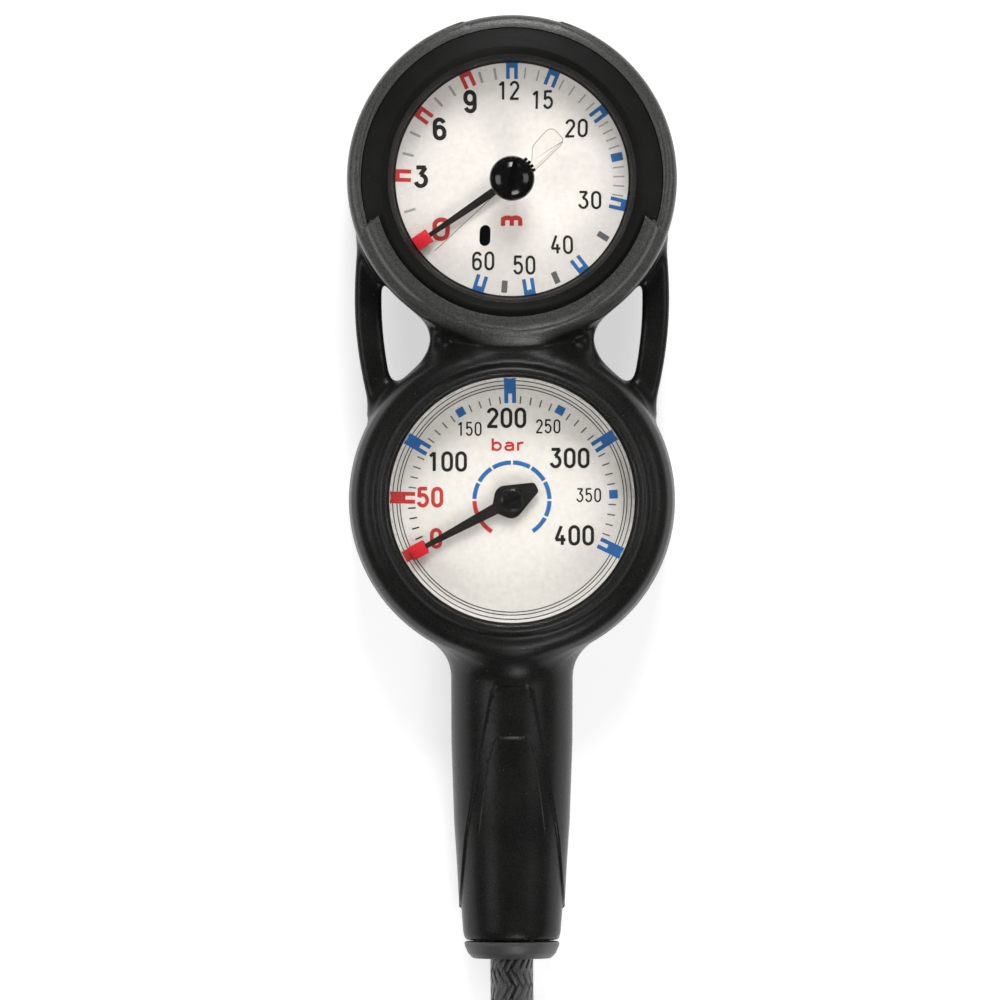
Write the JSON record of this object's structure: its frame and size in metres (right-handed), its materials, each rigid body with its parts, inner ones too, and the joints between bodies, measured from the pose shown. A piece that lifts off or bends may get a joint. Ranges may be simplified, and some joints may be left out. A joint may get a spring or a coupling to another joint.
{
  "type": "diving gauge console",
  "caption": "Diving gauge console: a depth gauge and a cylinder pressure gauge in a rubber boot with side strap loops and a handle sleeve, on a coiled braided hose with a threaded end.",
  "frame": {"origin": "under the middle of the console, on the plane of its back, with the free hose and its coil left out", "axes": "+Z out of both dials, +Y from the pressure gauge to the depth gauge; the hose leaves along -Y"},
  "size_m": [0.1185, 0.375, 0.0345],
  "materials": {
    "black_rubber": "fine matte grain",
    "seal_rubber": "smooth",
    "black_plastic": "satin",
    "pointer_black": "gloss",
    "clear_plastic": "clear and polished",
    "glass": "clear and polished",
    "dial_white": "satin white",
    "brass": "machined",
    "bronze": "drawn phosphor bronze",
    "steel": "turned",
    "chrome": "polished plating on brass",
    "hose_black": "braided polyester over a thermoplastic tube"
  },
  "bodies": {
    "console": {"air_spool": "steel", "blow_out_plug": "seal_rubber", "console_boot": "black_rubber", "depth_back_diaphragm": "seal_rubber", "depth_bezel": "black_plastic", "depth_bourdon_tube": "bronze", "depth_case": "black_plastic", "depth_dial": "dial_white", "depth_hairspring": "bronze", "depth_inner_ring": "black_plastic", "depth_lens": "clear_plastic", "depth_lens_gasket": "seal_rubber", "depth_link": "steel", "depth_movement_bridge": "brass", "depth_movement_frame": "brass", "depth_tube_socket": "brass", "gauge_side_spool_seal": "seal_rubber", "hose_collar": "black_plastic", "hose_side_spool_seal": "seal_rubber", "pressure_bourdon_tube": "bronze", "pressure_case": "chrome", "pressure_dial": "dial_white", "pressure_glass": "glass", "pressure_glass_gasket": "seal_rubber", "pressure_hairspring": "bronze", "pressure_link": "steel", "pressure_movement_bridge": "brass", "pressure_movement_frame": "brass", "pressure_retaining_ring": "black_plastic", "pressure_stem": "brass"},
    "depth_pointer": {"depth_pointer": "pointer_black", "depth_arbor": "steel"},
    "depth_sector": {"depth_sector": "brass"},
    "max_depth_needle": {"max_depth_needle": "clear_plastic", "depth_reset_knob": "pointer_black", "reset_knob_seal": "seal_rubber"},
    "pressure_pointer": {"pressure_pointer": "pointer_black", "pressure_pointer_cap": "pointer_black", "pressure_arbor": "steel"},
    "pressure_sector": {"pressure_sector": "brass"},
    "hose": {"hose_swivel_nut": "chrome", "gauge_end_ferrule": "chrome", "hose_lead": "hose_black", "hose_coil": "hose_black", "coil_tie": "black_rubber", "hose_tail": "hose_black", "far_end_ferrule": "chrome", "first_stage_fitting": "chrome", "port_seal": "seal_rubber"}
  },
  "joints": [
    {"name": "depth_sector_swing", "type": "hinge", "parent": "console", "child": "depth_sector", "pos_m": [0, 0.08325, 0.0084], "axis": [0, 0, 1], "range_deg": [0, 40.15]},
    {"name": "depth_pointer_turn", "type": "hinge", "parent": "console", "child": "depth_pointer", "pos_m": [0, 0.0675, 0.0225], "axis": [0, 0, -1], "range_deg": [0, 321.2]},
    {"name": "max_depth_reset", "type": "hinge", "parent": "console", "child": "max_depth_needle", "pos_m": [0, 0.0675, 0.0247], "axis": [0, 0, -1], "range_deg": [0, 321.2]},
    {"name": "pressure_sector_swing", "type": "hinge", "parent": "console", "child": "pressure_sector", "pos_m": [0, 0.01245, 0.0084], "axis": [0, 0, 1], "range_deg": [0, 29.25]},
    {"name": "pressure_pointer_turn", "type": "hinge", "parent": "console", "child": "pressure_pointer", "pos_m": [0, -0.0033, 0.0225], "axis": [0, 0, -1], "range_deg": [0, 234]},
    {"name": "hose_swivel", "type": "hinge", "parent": "console", "child": "hose", "pos_m": [0, -0.0459, 0.0145], "axis": [0, 1, 0], "continuous": true}
  ],
  "couplings": [
    {"joint": "depth_pointer_turn", "follows": "depth_sector_swing", "ratio": 8},
    {"joint": "pressure_pointer_turn", "follows": "pressure_sector_swing", "ratio": 8}
  ]
}
